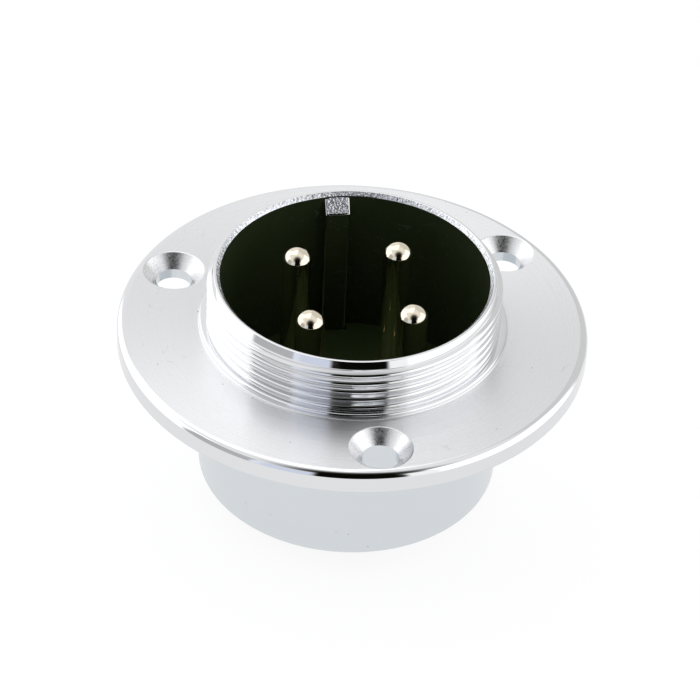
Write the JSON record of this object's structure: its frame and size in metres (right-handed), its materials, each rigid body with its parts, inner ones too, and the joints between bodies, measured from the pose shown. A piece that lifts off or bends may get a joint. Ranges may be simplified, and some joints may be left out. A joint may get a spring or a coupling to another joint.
{
  "type": "circular connector receptacle",
  "caption": "Panel-mount circular receptacle: round countersunk flange, threaded coupling barrel with key, rear skirt, domed male contact pins and rear solder cups.",
  "frame": {"origin": "centre of the bounding box's bottom face: on the connector's axis, in the plane of the solder cup ends that it stands on", "axes": "+Z along the connector's axis towards the mating end, +Y towards the key rib, +X to the right seen from the front with the key away from the viewer"},
  "size_m": [0.048, 0.048, 0.0271],
  "materials": {
    "shell_plating": "bright plating over a zinc die casting, polished on turned faces, grainy on the cast rim and key",
    "insulator_green": "very dark green moulded plastic, semi-gloss",
    "contact_plating": "bright pale nickel plating over turned brass",
    "ring_steel": "plated spring steel"
  },
  "bodies": {
    "root": {"shell": "shell_plating", "insulator": "insulator_green", "insulator_rear_plate": "insulator_green", "retaining_ring": "ring_steel", "contact_pin_1": "contact_plating", "contact_pin_2": "contact_plating", "contact_pin_3": "contact_plating", "contact_pin_4": "contact_plating"}
  },
  "joints": []
}
